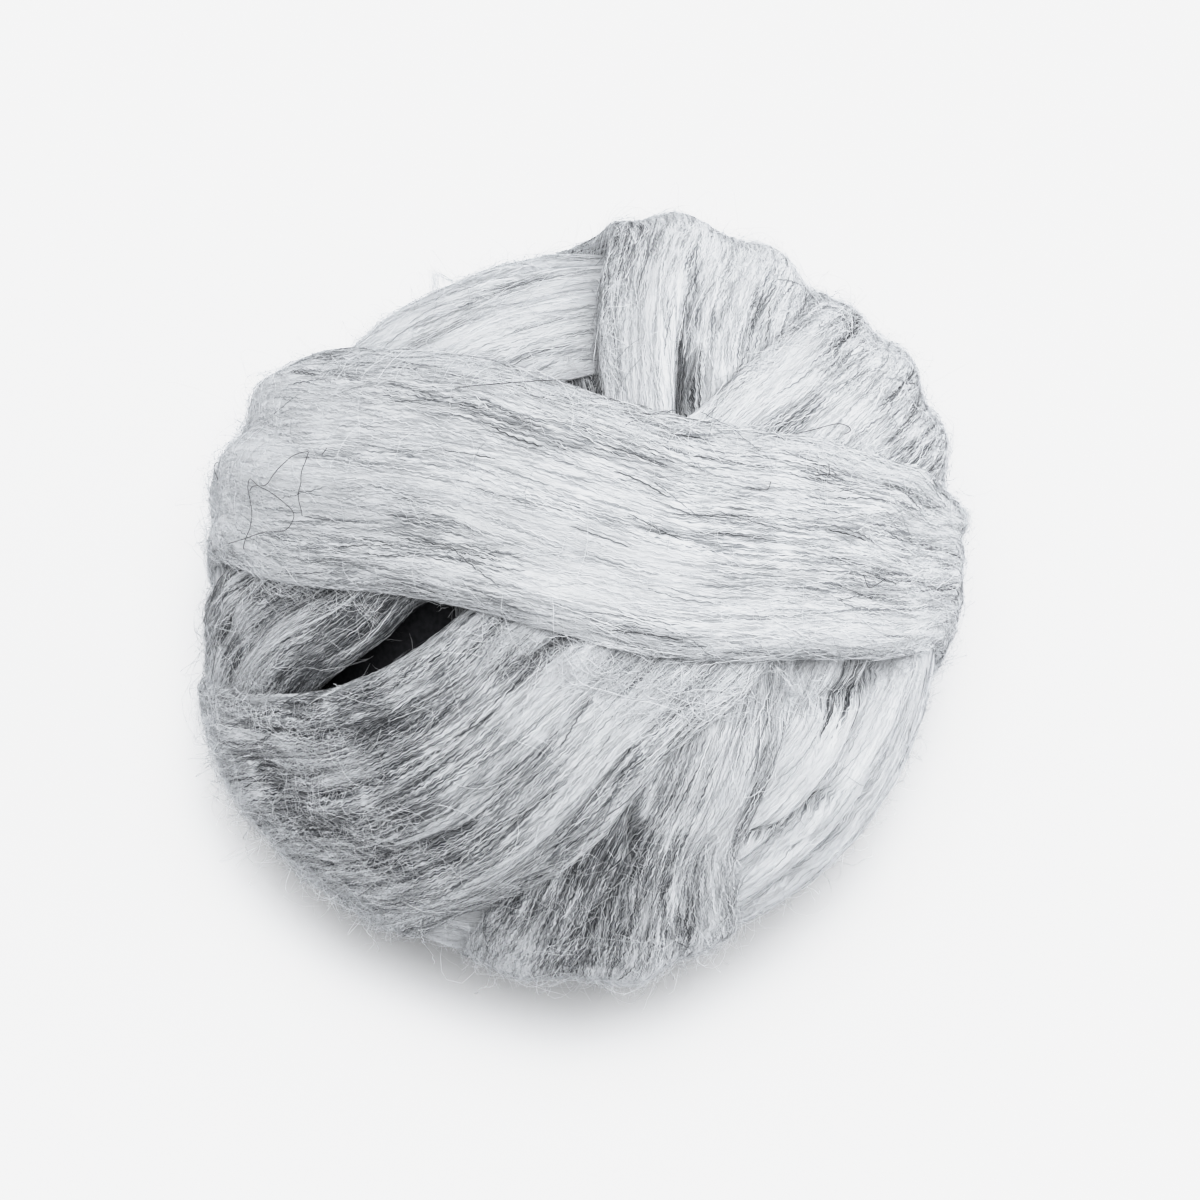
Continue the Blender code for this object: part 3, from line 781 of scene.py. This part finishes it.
def lay(name, turn, tried, later):
    """Fibres of one turn, without those that a later turn covers."""
    sizes = bpy.context.scene.roving_sizes
    rng = np.random.default_rng(FIBRE_SEED + turn["number"])
    face, normal = turn["face"], turn["normal"]
    stations, columns = face.shape[0], face.shape[1] - 1
    start = rng.uniform(0, stations, tried)
    share = rng.uniform(EDGE_MARGIN, 1.0 - EDGE_MARGIN, tried)
    at_edge = rng.random(tried) < EDGE_SHARE
    to_edge = EDGE_MARGIN + EDGE_BAND * np.minimum(share, 1.0 - share)
    near_edge = np.where(share < 0.5, to_edge, 1.0 - to_edge)
    step = np.where(at_edge, near_edge, share) * columns
    seeds = grid_values(face, start, step)
    over = 1.006  # from just over the face outwards
    open_air = np.array([not any(tree.ray_cast(Vector(seed) * over, Vector(seed))[0] for tree in later)
                         for seed in seeds], dtype=bool)
    at_edge &= clear_of_hollow(unit(seeds), EDGE_CLEAR)
    start, step, at_edge = start[open_air], step[open_air], at_edge[open_air]
    count, each = len(start), (len(start), 1)
    spacing = sizes.crimp_length / 2 * rng.uniform(*LENGTHS, count)
    t = np.arange(FIBRE_POINTS) - (FIBRE_POINTS - 1) / 2
    rows = start[:, None] + t * (spacing / turn["girth"] * stations)[:, None]
    heading = rng.normal(0.0, HEADING, count)
    heading = heading * np.where(at_edge | (rng.random(count) < ASKEW_SHARE), ASKEW, 1.0)
    drift = heading[:, None] * t + rng.normal(0.0, BEND, each) * t * t
    aside = (grid_values(face, start, step + 0.5) - grid_values(face, start, step - 0.5))[:, None]
    side_size = np.linalg.norm(aside, axis=2) + TINY
    cols = step[:, None] + drift * MM / side_size
    beyond_edge = (cols - cols.clip(0.0, columns)) * side_size
    points_on = grid_values(face, rows, cols) + unit(aside) * beyond_edge[..., None]
    up = unit(grid_values(normal, rows, cols))
    sideways = np.cross(up, unit(np.gradient(points_on, axis=1)))
    zigzag = np.where(np.arange(FIBRE_POINTS) % 2, 1.0, -1.0)
    sway = zigzag * sizes.crimp_height * rng.uniform(*HEIGHTS, each)
    arch = np.sin(pi * np.linspace(ARCH_END, 1.0 - ARCH_END, FIBRE_POINTS))
    lift = LEAST_LIFT * MM + rng.exponential(MEAN_LIFT, each) * MM * arch
    lift = lift + CRIMP_LIFT * sizes.crimp_height * rng.normal(0.0, 1.0, (count, FIBRE_POINTS))
    lines = points_on + sideways * sway[..., None] + up * lift[..., None]
    twist = rng.normal(0.0, TWIST, each)
    twist = twist + TWIST_GROWTH * t * rng.normal(0.0, GROWTH_SPREAD, each)
    taper = np.minimum(1.0, TAPER * arch) * rng.uniform(*WIDTHS, each)
    across = sideways * np.cos(twist)[..., None] + up * np.sin(twist)[..., None]
    widths = across * (taper * sizes.fibre_width / 2)[..., None]
    # The fibres take the tone of the face under them, along with its painted shade.
    own_tone = grid_values(turn["tone"], start, step)
    spread = TONE_SPREAD + DARK_SPREAD * (PALE_FROM - own_tone).clip(0.0, 1.0)
    tones = TONE_BASE + TONE_SHARE * own_tone + spread * rng.normal(0.0, 1.0, count)
    tones = np.where(rng.random(count) < DARK_SHARE, tones - DARKER, tones).clip(0.0, 1.0)
    return ribbon_mesh("fibres_" + name, on_floor(lines), widths, tones)


class ROVING_OT_fibres(bpy.types.Operator):
    """Lay loose fibres along the face of every turn"""

    bl_idname = "roving.fibres"
    bl_label = "Fibres on the turns"

    def execute(self, context):
        material = fibre_material()
        areas = {name: turn["girth"] * turn["half_width"].mean() for name, turn in wound.items()}
        fibres, whole = context.scene.roving_sizes.fibre_count, sum(areas.values())
        for name, turn in wound.items():
            tried = int(fibres * areas[name] / whole * FIBRES_TRIED)
            new_piece("fibres_" + name, lay(name, turn, tried, laid[turn["number"] + 2:]), material)
        return {"FINISHED"}


def tube_mesh(name, line, radius):
    """Mesh of a closed three-sided tube along a line."""
    steps, steep = len(line), 0.9
    ahead = unit(np.gradient(line, axis=0))
    helper = np.where(np.abs(ahead[:, 2:]) > steep, (1.0, 0.0, 0.0), (0.0, 0.0, 1.0))
    first = unit(np.cross(ahead, helper))
    second = np.cross(ahead, first)
    sides = [line + (first * cos(angle) + second * sin(angle)) * radius
             for angle in (0.0, 2 * pi / 3, 4 * pi / 3)]
    start, last = np.arange(steps - 1) * 3, (steps - 1) * 3
    faces = [np.stack([start + a, start + 3 + a, start + 3 + b, start + b], axis=-1)
             for a, b in ((0, 1), (1, 2), (2, 0))]
    caps = [0, 1, 2], [last + 2, last + 1, last]
    mesh = bpy.data.meshes.new(name)
    mesh.from_pydata(np.stack(sides, axis=1).reshape(-1, 3), [], [*np.concatenate(faces).tolist(), *caps])
    set_tones(mesh, np.full(steps * 3, HAIR_TONE))
    mesh.shade_smooth()
    mesh.update()
    return mesh


def loose_lines(rng, outward, lengths, lifts, points):
    """Curled lines over the ball's surface from each place, each rising off it by its lift."""
    curliness, wobble, least_curl, flick, clearance = 1.6, 0.13, 1e-3, 1.4, 0.1
    count = len(outward)
    heading = unit(np.cross(outward, rng.normal(size=(count, 3))))
    aside = np.cross(outward, heading)
    t = np.linspace(-0.5, 0.5, points)[None, :]
    curl = rng.normal(0.0, curliness, (count, 1)) + least_curl
    along = (lengths[:, None] * np.sin(curl * t) / curl)[..., None]
    across = (lengths[:, None] * (1.0 - np.cos(curl * t)) / curl)[..., None]
    wiggle = (rng.normal(0.0, wobble, (count, points)) * MM)[..., None]
    shift = heading[:, None] * along + aside[:, None] * (across + wiggle)
    ways = unit(outward[:, None] * MEAN_RADIUS + shift)
    bow = np.where(rng.random((count, 1)) < 0.5, 1.0, 0.0)
    rise = bow * np.cos(pi * t) + (1.0 - bow) * (t + 0.5) ** flick
    return ways * (laid_heights(ways) + lifts[:, None] * rise + clearance * MM)[..., None]


def loose_piece(rng, name, kind, outward, lifts):
    """Piece of thin loose fibres of one kind, one from each place, rising off the ball by its lift."""
    length_shape, tone_spread, tone_range = 3.0, 0.12, (0.2, 1.0)
    tilt, taper, end_width, width_range = 0.6, 4.0, 0.3, (0.6, 1.4)
    count, width = len(outward), kind.width * MM
    lengths = rng.gamma(length_shape, kind.length, count) * MM
    lines = loose_lines(rng, outward, lengths, lifts * MM, kind.points)
    tones = rng.normal(kind.tone, tone_spread, count).clip(*tone_range)
    ahead = unit(np.gradient(lines, axis=1))
    across = unit(np.cross(ahead, unit(lines) + tilt * rng.normal(size=(count, 1, 3))))
    to_end = 1.0 - np.abs(np.linspace(-1.0, 1.0, kind.points))
    tapered = np.minimum(1.0, taper * to_end + end_width)
    widths = across * (tapered * width / 2 * rng.uniform(*width_range, (count, 1)))[..., None]
    mesh = ribbon_mesh(name, on_floor(lines), widths, tones)
    new_piece(name, mesh, bpy.data.materials["single_fibres"])


class ROVING_OT_frizz(bpy.types.Operator):
    """Lay short loose fibres across the band at all angles where it is frizzy"""

    bl_idname = "roving.frizz"
    bl_label = "Frizz"

    def execute(self, context):
        rng = np.random.default_rng(FRIZZ_SEED)
        places, lifts = [], []
        for frizz in FRIZZES:
            start, end = (np.array(direction(*place)) for place in (frizz.start, frizz.end))
            share = rng.random((frizz.count, 1))
            spread = rng.normal(0.0, SPREAD_SHARE * frizz.spread * MM / MEAN_RADIUS, (frizz.count, 3))
            places.append(unit(start + share * (end - start)) + spread)
            lifts.append(rng.exponential(frizz.lift, frizz.count))
        outward, lifts = unit(np.concatenate(places)), np.concatenate(lifts)
        high = laid_heights(outward) > FRIZZ_FIBRES.least_height * MM
        kept = high & clear_of_hollow(outward, FRIZZ_CLEAR)
        loose_piece(rng, "frizz", FRIZZ_FIBRES, outward[kept], lifts[kept])
        return {"FINISHED"}


class ROVING_OT_strays(bpy.types.Operator):
    """Let thin stray fibres stand off the ball all round"""

    bl_idname = "roving.strays"
    bl_label = "Stray fibres"

    def execute(self, context):
        rimward, shape, lift, long_share, longer = 0.85, 1.3, 0.9, 0.08, 2.5
        rng = np.random.default_rng(STRAY_SEED)
        count, up = context.scene.roving_sizes.stray_count, np.array(direction(0.0, 0.0))
        spread = rng.normal(size=(count, 3))
        spread[::2] -= spread[::2] @ up[:, None] * up * rimward
        outward = unit(spread)
        outward = outward[laid_heights(outward) > STRAY_FIBRES.least_height * MM]
        count = len(outward)
        lifts = rng.gamma(shape, lift, count) * np.where(rng.random(count) < long_share, longer, 1.0)
        loose_piece(rng, "stray_fibres", STRAY_FIBRES, outward, lifts)
        return {"FINISHED"}


class ROVING_OT_single_hairs(bpy.types.Operator):
    """Lay the few single hairs that are caught on the ball"""

    bl_idname = "roving.single_hairs"
    bl_label = "Single hairs"

    def execute(self, context):
        dark, _, _ = plain_material("dark_hair", context.scene.roving_colours.hair, roughness=0.5)
        pale = bpy.data.materials["single_fibres"]
        for name, hair in HAIRS.items():
            rows = np.array([direction(*place) for place in hair.places])
            share = np.linspace(0.0, 1.0, HAIR_POINTS)
            line = unit(resampled(rows, share * (len(rows) - JUST_OVER_ONE), False))
            if hair.pale:
                crimp = unit(np.cross(line, np.gradient(line, axis=0)))
                line = unit(line + crimp * (PALE_CRIMP * np.sin(share * PALE_WAVES))[:, None])
            lift = HAIR_LIFT * MM + HAIR_LIFT * MM * np.sin(pi * share) + hair.lift * MM * share ** 3
            line = line * (laid_heights(line) + lift)[:, None]
            radius, material = (PALE_RADIUS, pale) if hair.pale else (DARK_RADIUS, dark)
            new_piece("hair_" + name, tube_mesh("hair_" + name, on_floor(line), radius * MM), material)
        return {"FINISHED"}


def set_film(scene):
    """Whites roll off just under full white, as in a bright photograph."""
    view = scene.view_settings
    view.view_transform = "Standard"
    view.use_curve_mapping = True
    view.curve_mapping.white_level = (WHITE_LEVEL, WHITE_LEVEL, WHITE_LEVEL)
    combined = view.curve_mapping.curves[3]
    for light, shown in TONE_CURVE:
        combined.points.new(light, shown)
    combined.points[-1].location = (1.0, WHITE_SHOWN)
    view.curve_mapping.update()


def new_floor(scene, stage):
    """Plain pale floor."""
    half = stage.floor_size / 2
    mesh = bpy.data.meshes.new("floor")
    corners = [(x * half, y * half, 0) for x, y in ((-1, -1), (1, -1), (1, 1), (-1, 1))]
    mesh.from_pydata(corners, [], [(0, 1, 2, 3)])
    floor = bpy.data.objects.new("floor", mesh)
    scene.collection.objects.link(floor)
    material, _, _ = plain_material("pale_floor", scene.roving_colours.floor, roughness=0.9)
    mesh.materials.append(material)
    return floor


def new_light(scene, name, strength, place):
    """Wide distant light from a place in the sky."""
    data = bpy.data.lights.new(name, "SUN")
    data.energy, data.angle = strength, radians(place.size)
    light = bpy.data.objects.new(name, data)
    b, e = radians(place.bearing), radians(place.elevation)
    back = Vector((cos(b) * cos(e), sin(b) * cos(e), sin(e)))
    light.rotation_euler = back.to_track_quat("Z", "Y").to_euler()
    scene.collection.objects.link(light)
    return light


def new_camera(scene, stage):
    """Camera nearly overhead, at the photograph's angle."""
    data = bpy.data.cameras.new("camera")
    data.lens = stage.lens
    camera = bpy.data.objects.new("camera", data)
    distance = stage.view_width / 2 / tan(data.angle / 2)
    back = Vector((0.0, -cos(stage.elevation), sin(stage.elevation)))
    target = Vector((stage.view_right, 0.0, CENTRE_HEIGHT))
    camera.location = target + back * distance
    camera.rotation_euler = back.to_track_quat("Z", "Y").to_euler()
    scene.collection.objects.link(camera)
    scene.camera = camera


class ROVING_OT_stage(bpy.types.Operator):
    """Set up the pale floor, the soft lights and the camera"""

    bl_idname = "roving.stage"
    bl_label = "Studio"

    def execute(self, context):
        scene, stage = context.scene, context.scene.roving_stage
        floor = new_floor(scene, stage)
        lights = {name: new_light(scene, name, getattr(stage, name), place) for name, place in LIGHTS.items()}
        on_floor_only = bpy.data.collections.new("lit_by_floor_light")
        on_floor_only.objects.link(floor)
        lights["floor_light"].light_linking.receiver_collection = on_floor_only
        world = bpy.data.worlds.new("pale_room")
        world.use_nodes = True
        background = world.node_tree.nodes["Background"]
        background.inputs["Color"].default_value = ROOM_COLOUR
        background.inputs["Strength"].default_value = stage.ambient
        scene.world = world
        set_film(scene)
        new_camera(scene, stage)
        return {"FINISHED"}


PIECES = (ROVING_OT_inner_ball, ROVING_OT_turns, ROVING_OT_fibres, ROVING_OT_frizz, ROVING_OT_strays,
          ROVING_OT_single_hairs, ROVING_OT_stage)


class ROVING_PT_sidebar(bpy.types.Panel):
    """Sizes, colours and steps of the wound roving"""

    bl_idname = "ROVING_PT_sidebar"
    bl_label = "Wool roving"
    bl_space_type = "VIEW_3D"
    bl_region_type = "UI"
    bl_category = "Roving"

    def draw(self, context):
        for group in (context.scene.roving_sizes, context.scene.roving_colours, context.scene.roving_stage):
            box = self.layout.box()
            for key in group.__annotations__:
                box.prop(group, key)
        for step in PIECES:
            self.layout.operator(step.bl_idname)


GROUPS = {"roving_sizes": RovingSizes, "roving_colours": RovingColours, "roving_stage": RovingStage}


def register():
    """Register the classes and give the scene their settings."""
    for group in (*GROUPS.values(), *PIECES, ROVING_PT_sidebar):
        bpy.utils.register_class(group)
    for name, group in GROUPS.items():
        setattr(bpy.types.Scene, name, bpy.props.PointerProperty(type=group))


def unregister():
    """Take the settings and the classes away again."""
    for name in GROUPS:
        delattr(bpy.types.Scene, name)
    for group in (ROVING_PT_sidebar, *reversed(PIECES), *reversed(GROUPS.values())):
        bpy.utils.unregister_class(group)


def main():
    """Make the pieces and the stage in order."""
    register()
    bpy.ops.roving.inner_ball()
    bpy.ops.roving.turns()
    bpy.ops.roving.fibres()
    bpy.ops.roving.frizz()
    bpy.ops.roving.strays()
    bpy.ops.roving.single_hairs()
    bpy.ops.roving.stage()


if __name__ == "__main__":
    main()
